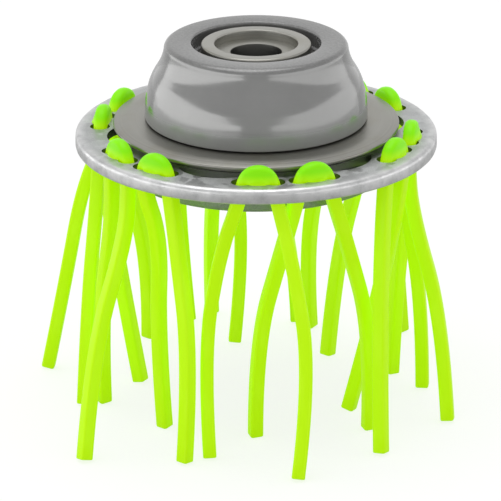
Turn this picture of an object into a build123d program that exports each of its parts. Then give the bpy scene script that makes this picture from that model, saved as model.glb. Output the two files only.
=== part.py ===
from build123d import *
import math
import os

# Weed brush trimmer head: doubled cutting lines hang from a round plate below a free-running glide cup.
# Millimetres, spindle axis on Z, zero at the top face of the line plate, front of the head toward -Y.

# clearances
RUN_FIT = 0.03
SLIDE_FIT = 0.05
SEAM_GAP = 0.3
BALL_PLAY = 0.12
POCKET_PLAY = 0.22

# spindle the head is clamped on
SPINDLE_D = 12.0
SPINDLE_PLAY = 0.2
ARBOR_SEAT_D = 20.0
NUT_SEAT_DEPTH = 2.2
PILOT_DEPTH = 2.5

# ball bearing
BEARING_BORE = 17.0
BEARING_OD = 35.0
BEARING_WIDTH = 10.0
BALL_D = 4.762
BALL_COUNT = 10
INNER_LAND_DROP = 1.5
OUTER_LAND_RISE = 1.475
SEAL_THICK = 0.8
SEAL_SINK = 0.4
SEAL_SEAT_STEP = 0.525
SEAL_LIP_GAP = 0.25
CAGE_WALL = 1.8
CAGE_WIDTH = 6.4
RING_CHAMFER = 0.4

# stack of plates under the cup
PLATE_D = 87.0
PLATE_THICK = 2.0
PLATE_RIM_ROUND = 0.6
WASHER_D = 62.8
WASHER_THICK = 1.7
DISC_D = 68.8
DISC_THICK = 1.4
DISC_FLAT_D = 62.4
DISC_RIM_DROP = 0.7
DISC_RIM_BLEND = 6.0
DISC_EDGE_ROUND = 0.4
DRUM_D = 64.6
DRUM_HEIGHT = 7.6
DRUM_CHAMFER = 1.0
SLEEVE_INSET = 0.1
SLEEVE_HEIGHT = 5.1

# hub bush head
HEAD_D = 26.4
HEAD_HEIGHT = 3.6
HEAD_ROUND = 0.5
SEAT_CHAMFER = 0.3

# glide cup
CUP_TOP_RISE = 0.3
CUP_MOUTH_D = 31.0
CUP_LIP_D = 43.8
CUP_NECK_D = 44.7
CUP_NECK_DROP = 2.9
CUP_CONE_D = 50.8
CUP_CONE_DROP = 8.9
CUP_SHOULDER_D = 53.0
CUP_SHOULDER_DROP = 13.1
CUP_BASE_D = 53.5
CUP_BASE_DROP = 15.7
CUP_WALL = 2.6
CUP_EDGE_ROUND = 0.45
CUP_LIP_ROUND = 1.5
CUP_NECK_BLEND = 10.0
CUP_CONE_BLEND = 14.0
CUP_SHOULDER_BLEND = 14.0
CUP_BASE_BLEND = 4.0
CUP_CAVITY_DROP = 7.1
BOSS_WALL = 2.8
BOSS_FOOT_GAP = 2.1

# circlip that keeps the bearing in the cup
CIRCLIP_THICK = 1.5
CIRCLIP_BITE = 0.9
CIRCLIP_REACH = 1.9
CIRCLIP_GAP_DEG = 25.0
LUG_R = 1.6
LUG_HOLE_R = 0.7

# line holes and clearing slots in the plate
HOLE_PLAY = 1.6
HOLE_RIM = 5.8
FRONT_DEG = -90.0
GROUP_COUNT = 6
GROUP_START_DEG = 10.9
LOOP_HALF_DEG = 10.25
HOLE_HALF_DEG = 6.0
SLOT_HOLE_STEP = 1.5
SLOT_END_R = 8.0
SLOT_HALF_DEG = 2.5
SLOT_FLOOR_GAP = 0.3

# cutting lines
LINE_W = 3.2
LINE_CORNER = 0.6
CROWN_INSET = 0.6
EXIT_SPREAD = 0.4
CROWN_Z = 2.3
EXIT_Z = -4.5
KNEE_Z = -18.0
SHIN_Z = -43.5
TIP_Z = -68.5
BEND_SHARE = 0.45

# sideways drift of each leg from its hole at the knee, the shin and the tip, two legs to a line
LINE_LEGS = [
    [[(-5.0, 1.0), (-9.0, 1.5), (-7.5, -2.5)], [(4.0, -5.0), (8.5, -10.5), (5.5, -15.0)]],
    [[(-3.5, 4.0), (-10.0, 7.0), (-10.0, 9.5)], [(4.0, 5.5), (10.5, 9.5), (10.0, 11.0)]],
    [[(-1.0, -4.5), (-1.5, -11.0), (-1.0, -15.5)], [(-1.5, 1.0), (-6.0, 3.0), (-12.0, 4.5)]],
    [[(1.0, 0.0), (8.5, -4.5), (10.0, -8.0)], [(-2.0, 2.0), (3.0, 4.0), (3.5, 5.5)]],
    [[(3.5, 0.0), (0.5, -2.5), (-0.5, -3.5)], [(3.0, 3.5), (5.0, 12.0), (7.0, 18.5)]],
    [[(0.0, 1.0), (-6.5, -1.0), (-8.5, -2.5)], [(-3.0, 2.5), (-8.0, 7.5), (-6.5, 12.0)]],
    [[(-4.0, 2.0), (6.0, 6.5), (7.0, 10.0)], [(-1.5, -1.0), (1.5, -3.0), (-1.0, -4.5)]],
    [[(0.5, 3.0), (-2.0, 11.0), (-1.5, 17.5)], [(-2.5, 2.5), (-2.0, 10.0), (0.0, 15.0)]],
    [[(-3.0, 2.5), (4.0, 9.5), (3.5, 15.0)], [(-2.5, -1.5), (1.5, -5.5), (6.0, -8.0)]],
    [[(-6.0, -0.5), (-10.5, 4.0), (-15.5, 7.0)], [(-0.9, -3.5), (-3.3, -7.0), (-4.5, -9.0)]],
    [[(0.0, 2.0), (-3.5, 6.5), (-3.0, 10.0)], [(-0.5, -3.5), (-8.5, -11.5), (-10.5, -19.0)]],
    [[(4.0, 0.0), (3.0, 3.0), (4.5, 5.5)], [(2.0, -3.0), (5.0, -9.5), (3.5, -11.0)]],
]

# heights that follow from the stack
Z_PLATE_TOP = 0.0
Z_PLATE_FOOT = Z_PLATE_TOP - PLATE_THICK
Z_DRUM_FOOT = Z_PLATE_FOOT - DRUM_HEIGHT
Z_SHANK_FOOT = Z_DRUM_FOOT + PILOT_DEPTH
Z_WASHER_TOP = Z_PLATE_TOP + WASHER_THICK
Z_DISC_TOP = Z_WASHER_TOP + DISC_THICK
Z_BEARING_FOOT = Z_DISC_TOP + SLEEVE_HEIGHT
Z_BEARING_MID = Z_BEARING_FOOT + BEARING_WIDTH / 2
Z_BEARING_TOP = Z_BEARING_FOOT + BEARING_WIDTH
Z_HEAD_TOP = Z_BEARING_TOP + HEAD_HEIGHT
Z_SEAT_FLOOR = Z_HEAD_TOP - NUT_SEAT_DEPTH
Z_CUP_TOP = Z_HEAD_TOP + CUP_TOP_RISE
Z_CUP_FOOT = Z_DISC_TOP + SEAM_GAP

# radii that follow from the fits
SHANK_R = BEARING_BORE / 2
STACK_BORE_R = SHANK_R + SLIDE_FIT
SPINDLE_R = (SPINDLE_D + SPINDLE_PLAY) / 2
PITCH_R = (BEARING_BORE + BEARING_OD) / 4
GROOVE_R = BALL_D / 2 + BALL_PLAY
POCKET_R = BALL_D / 2 + POCKET_PLAY
INNER_LAND_R = PITCH_R - INNER_LAND_DROP
OUTER_LAND_R = PITCH_R + OUTER_LAND_RISE
SEAL_SEAT_R = OUTER_LAND_R + SEAL_SEAT_STEP
BEARING_R = BEARING_OD / 2
CIRCLIP_INNER_R = BEARING_R - CIRCLIP_REACH
BOSS_R = BEARING_R + BOSS_WALL
SLEEVE_R = INNER_LAND_R - SLEEVE_INSET
HOLE_R = (LINE_W + HOLE_PLAY) / 2
HOLE_RING_R = PLATE_D / 2 - HOLE_RIM
SLOT_REACH_R = HOLE_RING_R - SLOT_HOLE_STEP


def turned(points, rounds=None):
    """A body of revolution from (radius, height) corners, each corner with its own round."""
    if rounds is None:
        outline = Polyline(*points, close=True)
    else:
        outline = FilletPolyline(*points, radius=rounds, close=True)
    return revolve(make_face(Plane.XZ * outline), Axis.Z)


def on_ring(radius, degrees):
    """A spot on a circle round the spindle, counted from the front toward +X."""
    angle = math.radians(degrees)
    return (radius * math.sin(angle), -radius * math.cos(angle))


def loop_angles():
    """Middle angle of every line loop, two loops to a group."""
    angles = []
    for group in range(GROUP_COUNT):
        middle = GROUP_START_DEG + group * 360 / GROUP_COUNT
        angles.append(middle - LOOP_HALF_DEG)
        angles.append(middle + LOOP_HALF_DEG)
    return angles


def hub_bush():
    """Flanged bush that carries the bearing and clamps the stack on the spindle."""
    head_r = HEAD_D / 2
    seat_r = ARBOR_SEAT_D / 2
    corners = [
        (SPINDLE_R, Z_SHANK_FOOT),
        (SHANK_R, Z_SHANK_FOOT),
        (SHANK_R, Z_BEARING_TOP),
        (head_r, Z_BEARING_TOP),
        (head_r, Z_HEAD_TOP),
        (seat_r + SEAT_CHAMFER, Z_HEAD_TOP),
        (seat_r, Z_HEAD_TOP - SEAT_CHAMFER),
        (seat_r, Z_SEAT_FLOOR),
        (SPINDLE_R, Z_SEAT_FLOOR),
    ]
    return turned(corners, [0, 0, 0, 0, HEAD_ROUND, 0, 0, 0, 0])


def bearing_inner_ring():
    """Inner ring with its ball groove."""
    bore_r = SHANK_R + RUN_FIT
    blank = turned([
        (bore_r + RING_CHAMFER, Z_BEARING_FOOT),
        (INNER_LAND_R, Z_BEARING_FOOT),
        (INNER_LAND_R, Z_BEARING_TOP),
        (bore_r + RING_CHAMFER, Z_BEARING_TOP),
        (bore_r, Z_BEARING_TOP - RING_CHAMFER),
        (bore_r, Z_BEARING_FOOT + RING_CHAMFER),
    ])
    return blank - Pos(0, 0, Z_BEARING_MID) * Torus(PITCH_R, GROOVE_R)


def bearing_outer_ring():
    """Outer ring with its ball groove and a seal seat in each face."""
    seat_depth = SEAL_SINK + SEAL_THICK
    blank = turned([
        (OUTER_LAND_R, Z_BEARING_FOOT + seat_depth),
        (SEAL_SEAT_R, Z_BEARING_FOOT + seat_depth),
        (SEAL_SEAT_R, Z_BEARING_FOOT),
        (BEARING_R - RING_CHAMFER, Z_BEARING_FOOT),
        (BEARING_R, Z_BEARING_FOOT + RING_CHAMFER),
        (BEARING_R, Z_BEARING_TOP - RING_CHAMFER),
        (BEARING_R - RING_CHAMFER, Z_BEARING_TOP),
        (SEAL_SEAT_R, Z_BEARING_TOP),
        (SEAL_SEAT_R, Z_BEARING_TOP - seat_depth),
        (OUTER_LAND_R, Z_BEARING_TOP - seat_depth),
    ])
    return blank - Pos(0, 0, Z_BEARING_MID) * Torus(PITCH_R, GROOVE_R)


def ball_places():
    """Centres of the balls on the pitch circle."""
    places = []
    for index in range(BALL_COUNT):
        x, y = on_ring(PITCH_R, index * 360 / BALL_COUNT)
        places.append((x, y, Z_BEARING_MID))
    return places


def bearing_balls():
    """The balls as one group."""
    return Compound(children=[Pos(*place) * Sphere(BALL_D / 2) for place in ball_places()])


def bearing_cage():
    """Ring cage with one pocket for each ball."""
    half = CAGE_WIDTH / 2
    cage = turned([
        (PITCH_R - CAGE_WALL / 2, Z_BEARING_MID - half),
        (PITCH_R + CAGE_WALL / 2, Z_BEARING_MID - half),
        (PITCH_R + CAGE_WALL / 2, Z_BEARING_MID + half),
        (PITCH_R - CAGE_WALL / 2, Z_BEARING_MID + half),
    ])
    for x, y, z in ball_places():
        pocket = Plane(origin=(x, y, z), z_dir=(x, y, 0))
        cage -= pocket * Cylinder(POCKET_R, 2 * CAGE_WALL)
    return cage


def bearing_seal(foot):
    """Flat ring seal that snaps into the outer ring and stops short of the inner ring."""
    return turned([
        (INNER_LAND_R + SEAL_LIP_GAP, foot),
        (SEAL_SEAT_R - RUN_FIT, foot),
        (SEAL_SEAT_R - RUN_FIT, foot + SEAL_THICK),
        (INNER_LAND_R + SEAL_LIP_GAP, foot + SEAL_THICK),
    ])


def bearing_circlip():
    """Open spring ring with two drilled lugs, sprung into the groove below the bearing."""
    outer_r = BEARING_R + CIRCLIP_BITE
    foot = Z_BEARING_FOOT - CIRCLIP_THICK
    ring = Circle(outer_r) - Circle(CIRCLIP_INNER_R)
    half_gap = CIRCLIP_GAP_DEG / 2
    far = 2 * outer_r
    wedge_a = on_ring(far, -half_gap)
    wedge_b = on_ring(far, half_gap)
    ring -= make_face(Polyline((0, 0), wedge_a, wedge_b, close=True))
    lug_ring_r = CIRCLIP_INNER_R
    lug_half = half_gap + math.degrees(LUG_R / lug_ring_r)
    for side in (-lug_half, lug_half):
        ring += Pos(*on_ring(lug_ring_r, side)) * Circle(LUG_R)
    for side in (-lug_half, lug_half):
        ring -= Pos(*on_ring(lug_ring_r, side)) * Circle(LUG_HOLE_R)
    return Pos(0, 0, foot) * extrude(ring, CIRCLIP_THICK)


def glide_cup():
    """Domed cup that runs on the bearing and glides over the ground."""
    mouth_r = CUP_MOUTH_D / 2
    lip_r = CUP_LIP_D / 2
    neck_r = CUP_NECK_D / 2
    cone_r = CUP_CONE_D / 2
    shoulder_r = CUP_SHOULDER_D / 2
    base_r = CUP_BASE_D / 2
    top = Z_CUP_TOP
    cavity_top = top - CUP_CAVITY_DROP
    slope = (cone_r - neck_r) / (CUP_CONE_DROP - CUP_NECK_DROP)
    cavity_top_r = neck_r + slope * (CUP_CAVITY_DROP - CUP_NECK_DROP) - CUP_WALL
    boss_foot = Z_CUP_FOOT + BOSS_FOOT_GAP - SEAM_GAP
    groove_foot = Z_BEARING_FOOT - CIRCLIP_THICK - SLIDE_FIT
    groove_r = BEARING_R + CIRCLIP_BITE + 2 * SLIDE_FIT
    corners = [
        (mouth_r, top),
        (lip_r, top),
        (neck_r, top - CUP_NECK_DROP),
        (cone_r, top - CUP_CONE_DROP),
        (shoulder_r, top - CUP_SHOULDER_DROP),
        (base_r, top - CUP_BASE_DROP),
        (base_r, Z_CUP_FOOT),
        (base_r - CUP_WALL, Z_CUP_FOOT),
        (base_r - CUP_WALL, top - CUP_BASE_DROP),
        (cone_r - CUP_WALL, top - CUP_CONE_DROP),
        (cavity_top_r, cavity_top),
        (BOSS_R, cavity_top),
        (BOSS_R, boss_foot),
        (BEARING_R, boss_foot),
        (BEARING_R, groove_foot),
        (groove_r, groove_foot),
        (groove_r, Z_BEARING_FOOT),
        (BEARING_R, Z_BEARING_FOOT),
        (BEARING_R, Z_BEARING_TOP),
        (mouth_r, Z_BEARING_TOP),
    ]
    rounds = [0] * len(corners)
    rounds[:7] = [
        CUP_EDGE_ROUND,
        CUP_LIP_ROUND,
        CUP_NECK_BLEND,
        CUP_CONE_BLEND,
        CUP_SHOULDER_BLEND,
        CUP_BASE_BLEND,
        CUP_EDGE_ROUND,
    ]
    return turned(corners, rounds)


def stack_ring(outer_d, foot, top, rounds=(0, 0)):
    """A flat ring of the clamped stack with its outer edges rounded."""
    corners = [(STACK_BORE_R, foot), (outer_d / 2, foot), (outer_d / 2, top), (STACK_BORE_R, top)]
    return turned(corners, [0, rounds[0], rounds[1], 0])


def cover_disc():
    """Pressed disc over the washer, its rim sloped down to a rounded edge."""
    corners = [
        (STACK_BORE_R, Z_WASHER_TOP),
        (DISC_D / 2, Z_WASHER_TOP),
        (DISC_D / 2, Z_DISC_TOP - DISC_RIM_DROP),
        (DISC_FLAT_D / 2, Z_DISC_TOP),
        (STACK_BORE_R, Z_DISC_TOP),
    ]
    return turned(corners, [0, 0, DISC_EDGE_ROUND, DISC_RIM_BLEND, 0])


def line_plate():
    """Round plate with the line holes and the clearing slots."""
    rim = (PLATE_RIM_ROUND, PLATE_RIM_ROUND)
    plate = stack_ring(PLATE_D, Z_PLATE_FOOT, Z_PLATE_TOP, rim)
    floor = Pos(0, 0, Z_PLATE_FOOT)
    for middle in loop_angles():
        for side in (-HOLE_HALF_DEG, HOLE_HALF_DEG):
            place = Pos(*on_ring(HOLE_RING_R, middle + side))
            plate -= floor * extrude(place * Circle(HOLE_R), PLATE_THICK)
    slot_r = SLOT_REACH_R - SLOT_END_R
    inside = Circle(WASHER_D / 2 + SLOT_FLOOR_GAP)
    for group in range(GROUP_COUNT):
        start = FRONT_DEG + GROUP_START_DEG + (group + 0.5) * 360 / GROUP_COUNT - SLOT_HALF_DEG
        slot = SlotArc(CenterArc((0, 0), slot_r, start, 2 * SLOT_HALF_DEG), 2 * SLOT_END_R)
        plate -= floor * extrude(slot - inside, PLATE_THICK)
    return plate


def lower_drum():
    """Thick foot ring that locates on the gear head's pilot."""
    drum = turned([
        (STACK_BORE_R, Z_SHANK_FOOT),
        (ARBOR_SEAT_D / 2, Z_SHANK_FOOT),
        (ARBOR_SEAT_D / 2, Z_DRUM_FOOT),
        (DRUM_D / 2 - DRUM_CHAMFER, Z_DRUM_FOOT),
        (DRUM_D / 2, Z_DRUM_FOOT + DRUM_CHAMFER),
        (DRUM_D / 2, Z_PLATE_FOOT),
        (STACK_BORE_R, Z_PLATE_FOOT),
    ])
    return drum


def leg_points(hole, partner, drifts):
    """Corner points of one leg, from its crown corner, leaning toward the partner hole, down to its tip."""
    span = math.dist(hole, partner)
    points = []
    for height, lean in ((CROWN_Z, CROWN_INSET), (EXIT_Z, -EXIT_SPREAD)):
        x = hole[0] + lean * (partner[0] - hole[0]) / span
        y = hole[1] + lean * (partner[1] - hole[1]) / span
        points.append((x, y, height))
    for drift, height in zip(drifts, (KNEE_Z, SHIN_Z, TIP_Z)):
        points.append((hole[0] + drift[0], hole[1] + drift[1], height))
    return points


def bend_radii(points):
    """Bend radius at each inner corner, set by the shorter of its two runs."""
    radii = []
    for before, corner, after in zip(points, points[1:], points[2:]):
        run_in = Vector(*corner) - Vector(*before)
        run_out = Vector(*after) - Vector(*corner)
        turn = math.radians(run_in.get_angle(run_out))
        radii.append(BEND_SHARE * min(run_in.length, run_out.length) / math.tan(turn / 2))
    return radii


def cutting_line(middle, legs):
    """One square line looped through two neighbouring holes, both legs hanging down."""
    holes = [on_ring(HOLE_RING_R, middle + side) for side in (-HOLE_HALF_DEG, HOLE_HALF_DEG)]
    first = leg_points(holes[0], holes[1], legs[0])
    second = leg_points(holes[1], holes[0], legs[1])
    points = first[::-1] + second
    radii = bend_radii(points)
    route = FilletPolyline(*points, radius=radii)
    chord = (holes[1][0] - holes[0][0], holes[1][1] - holes[0][1], 0)
    start = Plane(origin=route @ 0, x_dir=chord, z_dir=route % 0)
    square = Rectangle(LINE_W, LINE_W)
    square = chamfer(square.vertices(), LINE_CORNER)
    line = sweep(start * square, path=route)
    area = LINE_W ** 2 - 2 * LINE_CORNER ** 2
    print("line at", round(middle, 1), "length", round(route.length, 1),
          "volume share", round(line.volume / (area * route.length), 4),
          "bends", [round(r, 1) for r in radii])
    return line


PIECES = {
    "hub_bush": hub_bush(),
    "bearing_inner_ring": bearing_inner_ring(),
    "bearing_outer_ring": bearing_outer_ring(),
    "bearing_balls": bearing_balls(),
    "bearing_cage": bearing_cage(),
    "bearing_seal_lower": bearing_seal(Z_BEARING_FOOT + SEAL_SINK),
    "bearing_seal_upper": bearing_seal(Z_BEARING_TOP - SEAL_SINK - SEAL_THICK),
    "bearing_circlip": bearing_circlip(),
    "glide_cup": glide_cup(),
    "spacer_sleeve": stack_ring(2 * SLEEVE_R, Z_DISC_TOP, Z_BEARING_FOOT),
    "cover_disc": cover_disc(),
    "spacer_washer": stack_ring(WASHER_D, Z_PLATE_TOP, Z_WASHER_TOP),
    "line_plate": line_plate(),
    "lower_drum": lower_drum(),
}
for number, (middle, legs) in enumerate(zip(loop_angles(), LINE_LEGS), start=1):
    PIECES[f"line_{number:02d}"] = cutting_line(middle, legs)

os.makedirs("parts", exist_ok=True)
for name, shape in PIECES.items():
    export_step(shape, f"parts/{name}.step")
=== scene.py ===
"""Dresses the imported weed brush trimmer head: turned and pressed steel, grey paint and neon nylon lines."""
import logging
import math
from collections.abc import Callable
from dataclasses import dataclass, field
from enum import Enum

import bmesh
import bpy
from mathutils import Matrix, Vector


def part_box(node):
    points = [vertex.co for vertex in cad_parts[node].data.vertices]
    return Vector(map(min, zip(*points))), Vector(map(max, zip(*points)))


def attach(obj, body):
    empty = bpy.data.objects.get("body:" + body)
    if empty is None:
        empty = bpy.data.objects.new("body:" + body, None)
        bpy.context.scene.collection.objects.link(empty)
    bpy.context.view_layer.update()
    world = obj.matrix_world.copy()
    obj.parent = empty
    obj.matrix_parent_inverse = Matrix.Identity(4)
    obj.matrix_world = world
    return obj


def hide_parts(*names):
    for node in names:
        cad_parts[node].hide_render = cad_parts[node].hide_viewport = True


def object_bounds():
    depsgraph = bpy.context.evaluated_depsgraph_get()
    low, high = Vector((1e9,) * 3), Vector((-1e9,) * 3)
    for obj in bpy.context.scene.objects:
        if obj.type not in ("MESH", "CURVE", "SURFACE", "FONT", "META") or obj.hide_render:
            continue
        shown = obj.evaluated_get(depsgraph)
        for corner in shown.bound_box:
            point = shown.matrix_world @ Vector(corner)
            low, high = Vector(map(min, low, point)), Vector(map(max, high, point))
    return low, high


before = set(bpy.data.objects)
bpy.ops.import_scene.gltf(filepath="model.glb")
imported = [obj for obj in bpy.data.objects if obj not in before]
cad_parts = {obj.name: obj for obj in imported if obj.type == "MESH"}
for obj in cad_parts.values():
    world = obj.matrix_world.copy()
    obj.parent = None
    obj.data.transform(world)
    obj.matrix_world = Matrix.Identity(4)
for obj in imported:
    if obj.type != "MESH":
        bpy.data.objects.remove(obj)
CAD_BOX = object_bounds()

Colour = tuple[float, float, float]
Span = tuple[float, float]
Corner = tuple[float, float]
Drift = tuple[float, float]
Rounds = dict[int, tuple[float, int]]
Outline = tuple[list[Corner], Rounds]
Piece = bpy.types.Object
Node = bpy.types.Node
Socket = bpy.types.NodeSocket

LOG = logging.getLogger("trimmer_head")
MM = 0.001
TINY = 1e-6
FULL_TURN = 360.0
QUARTER_TURN = 90.0
SMOOTH_ANGLE = math.radians(32.0)
WHITE = (1.0, 1.0, 1.0, 1.0)

# ranges that masks run over, and the range in which most of a noise lies
RISE: Span = (0.0, 1.0)
FALL: Span = (1.0, 0.0)
NOISE: Span = (0.3, 0.7)


class Body(Enum):
    """The rigid bodies that modelled pieces ride on."""

    HEAD = "head"
    CUP = "cup"


class Slot(Enum):
    """Material slot names that each finish carries."""

    CUP_PAINT = "cup_paint"
    HUB_STEEL = "hub_steel"
    DISC_STEEL = "disc_steel"
    GALVANISED = "galvanised_steel"
    BEARING_STEEL = "bearing_steel"
    CAGE_STEEL = "cage_steel"
    SPRING_STEEL = "spring_steel"
    SEAL_RUBBER = "seal_rubber"
    LINE_NYLON = "line_nylon"


# shader helpers


class Graph:
    """Adds and wires nodes in one shader tree."""

    def __init__(self, tree: bpy.types.NodeTree) -> None:
        """Keeps the tree that the nodes go into."""
        self.tree = tree

    def add(self, kind: str, **settings: object) -> Node:
        """Adds a node.

        Args:
            kind: Blender's name of the node type.
            settings: Node properties to set.

        Returns:
            The new node.
        """
        node = self.tree.nodes.new(kind)
        for name, value in settings.items():
            setattr(node, name, value)
        return node

    def put(self, value: object, socket: Socket) -> None:
        """Wires an output into an input, or sets a plain value on it.

        Args:
            value: An output socket, a number or a tuple of numbers.
            socket: The input.
        """
        if isinstance(value, Socket):
            self.tree.links.new(value, socket)
        else:
            socket.default_value = value

    def feed(self, node: Node, **values: object) -> Node:
        """Wires or sets several inputs of a node.

        Args:
            node: The node to feed.
            values: What goes into each input, with _ for the spaces in its name.

        Returns:
            The same node.
        """
        for name, value in values.items():
            self.put(value, node.inputs[name.replace("_", " ")])
        return node

    def math(self, operation: str, first: object, second: object = 0.0) -> Socket:
        """Adds a Math node.

        Args:
            operation: The Math node's operation.
            first: A socket or a number.
            second: A socket or a number.

        Returns:
            The node's output.
        """
        node = self.add("ShaderNodeMath", operation=operation)
        self.put(first, node.inputs[0])
        self.put(second, node.inputs[1])
        return node.outputs[0]

    def spread(self, value: Socket, across: Span, result: Span) -> Socket:
        """Maps a value from one range to another.

        Args:
            value: The socket to map.
            across: Where the input starts and ends.
            result: What comes out at these two.

        Returns:
            The mapped value, clamped.
        """
        node = self.add("ShaderNodeMapRange")
        self.feed(node, Value=value, From_Min=across[0], From_Max=across[1],
                  To_Min=result[0], To_Max=result[1])
        return node.outputs["Result"]

    def tint(self, colour: Colour, shade: Socket) -> Socket:
        """Multiplies a colour by a shade near 1."""
        node = self.add("ShaderNodeVectorMath", operation="SCALE")
        return self.feed(node, Vector=colour, Scale=shade).outputs[0]

    def bump(self, height: Socket, depth: float, strength: float) -> Socket:
        """Turns a height field of a depth in metres into a normal, at some strength."""
        node = self.feed(self.add("ShaderNodeBump"), Height=height, Distance=depth, Strength=strength)
        return node.outputs["Normal"]

    def mix(self, mask: Socket, below: object, above: object) -> Socket:
        """Mixes two colours by a mask.

        Args:
            mask: 0 gives the first colour, 1 the second.
            below: A colour or a colour socket.
            above: A colour or a colour socket.

        Returns:
            The mixed colour.
        """
        node = self.feed(self.add("ShaderNodeMix", data_type="RGBA"), Factor=mask)
        for name, value in (("A", below), ("B", above)):
            socket = next(s for s in node.inputs if s.name == name and s.type == "RGBA")
            self.put((*value, 1.0) if isinstance(value, tuple) else value, socket)
        return next(s for s in node.outputs if s.type == "RGBA")

    def place(self, kind: str) -> Socket:
        """Gives a texture coordinate, such as Object or UV."""
        return self.add("ShaderNodeTexCoord").outputs[kind]

    def axis(self, kind: str, letter: str) -> Socket:
        """Picks one axis out of a texture coordinate.

        Args:
            kind: The coordinate, such as Object or Normal.
            letter: X, Y or Z.

        Returns:
            The value along that axis.
        """
        split = self.add("ShaderNodeSeparateXYZ")
        self.put(self.place(kind), split.inputs[0])
        return split.outputs[letter]

    def radius(self) -> Socket:
        """Measures the distance from the spindle axis.

        Returns:
            The radius in metres.
        """
        squares = []
        for letter in "XY":
            reach = self.axis("Object", letter)
            squares.append(self.math("MULTIPLY", reach, reach))
        return self.math("SQRT", self.math("ADD", *squares))


class Effects:
    """Surface effects that several finishes share, each a node group built once."""

    RING_CLIMB = 0.7
    SPECKS_IN_CLOUD = 14.0
    RAGS_IN_FLAKE = 2.5
    RAG_REACH = 1.2 * MM

    _made: dict[str, bpy.types.NodeTree] = {}

    @classmethod
    def _place(cls, graph: Graph, name: str, knob: str, amount: float,
               recipe: Callable[[Graph, Socket], tuple[Socket, ...]], *outputs: str) -> Node:
        """Places an effect in a material, and builds its group the first time.

        Args:
            graph: The material that takes the effect.
            name: The group's name.
            knob: Name of the group's one input.
            amount: The number that goes there.
            recipe: Wires the inside of the group and returns what it gives.
            outputs: Names of what it gives.

        Returns:
            The placed group.
        """
        if name not in cls._made:
            tree = bpy.data.node_groups.new(name, "ShaderNodeTree")
            tree.interface.new_socket(knob, in_out="INPUT", socket_type="NodeSocketFloat")
            for label in outputs:
                tree.interface.new_socket(label, in_out="OUTPUT", socket_type="NodeSocketFloat")
            inner = Graph(tree)
            given = recipe(inner, inner.add("NodeGroupInput").outputs[knob])
            inner.feed(inner.add("NodeGroupOutput"), **dict(zip(outputs, given)))
            cls._made[name] = tree
        return graph.feed(graph.add("ShaderNodeGroup", node_tree=cls._made[name]), **{knob: amount})

    @classmethod
    def turning(cls, graph: Graph, rings: float) -> Node:
        """Fine lathe rings round the spindle, counted to a metre of radius, with the output Shade."""
        return cls._place(graph, "turning_marks", "Rings", rings, cls._turning, "Shade")

    @classmethod
    def _turning(cls, inner: Graph, rings: Socket) -> tuple[Socket]:
        """Wires a noise that runs with the radius and climbs walls more slowly.

        Args:
            inner: The group's graph.
            rings: Rings in a metre of radius.

        Returns:
            The noise.
        """
        climb = inner.math("MULTIPLY", inner.axis("Object", "Z"), cls.RING_CLIMB)
        walk = inner.math("MULTIPLY", inner.math("ADD", inner.radius(), climb), rings)
        noise = inner.add("ShaderNodeTexNoise", noise_dimensions="1D")
        return (inner.feed(noise, W=walk, Scale=1.0, Detail=3.0).outputs["Fac"],)

    @classmethod
    def handling(cls, graph: Graph, scale: float) -> Node:
        """Stains and specks from handling, counted to a metre, with outputs Cloud and Speck."""
        return cls._place(graph, "handling_marks", "Scale", scale, cls._handling, "Cloud", "Speck")

    @classmethod
    def _handling(cls, inner: Graph, scale: Socket) -> tuple[Socket, Socket]:
        """Wires a cloudy noise and a fine one.

        Args:
            inner: The group's graph.
            scale: Clouds in a metre.

        Returns:
            The clouds and the specks.
        """
        place = inner.place("Object")
        fine = inner.math("MULTIPLY", scale, cls.SPECKS_IN_CLOUD)
        cloud = inner.add("ShaderNodeTexNoise")
        inner.feed(cloud, Vector=place, Scale=scale, Detail=4.0, Roughness=0.6)
        speck = inner.feed(inner.add("ShaderNodeTexNoise"), Vector=place, Scale=fine, Detail=2.0)
        return cloud.outputs["Fac"], speck.outputs["Fac"]

    @classmethod
    def spangle(cls, graph: Graph, flakes: float) -> Node:
        """Zinc crystals of a galvanised sheet, counted to a metre, with outputs Flake and Grain."""
        return cls._place(graph, "zinc_spangle", "Flakes", flakes, cls._spangle, "Flake", "Grain")

    @classmethod
    def _spangle(cls, inner: Graph, flakes: Socket) -> tuple[Socket, Socket]:
        """Wires crystals with ragged edges.

        Args:
            inner: The group's graph.
            flakes: Crystals in a metre.

        Returns:
            A shade for each crystal, and the noise that frays their edges.
        """
        place = inner.place("Object")
        drift = inner.add("ShaderNodeTexNoise")
        inner.feed(drift, Vector=place, Scale=inner.math("MULTIPLY", flakes, cls.RAGS_IN_FLAKE))
        push = inner.feed(inner.add("ShaderNodeVectorMath", operation="SCALE"), Scale=cls.RAG_REACH)
        inner.put(drift.outputs["Color"], push.inputs[0])
        moved = inner.add("ShaderNodeVectorMath", operation="ADD")
        inner.put(place, moved.inputs[0])
        inner.put(push.outputs[0], moved.inputs[1])
        cells = inner.add("ShaderNodeTexVoronoi", feature="F1")
        inner.feed(cells, Vector=moved.outputs[0], Scale=flakes)
        grey = inner.feed(inner.add("ShaderNodeSeparateColor"), Color=cells.outputs["Color"])
        return grey.outputs["Red"], drift.outputs["Fac"]


# finishes


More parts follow.
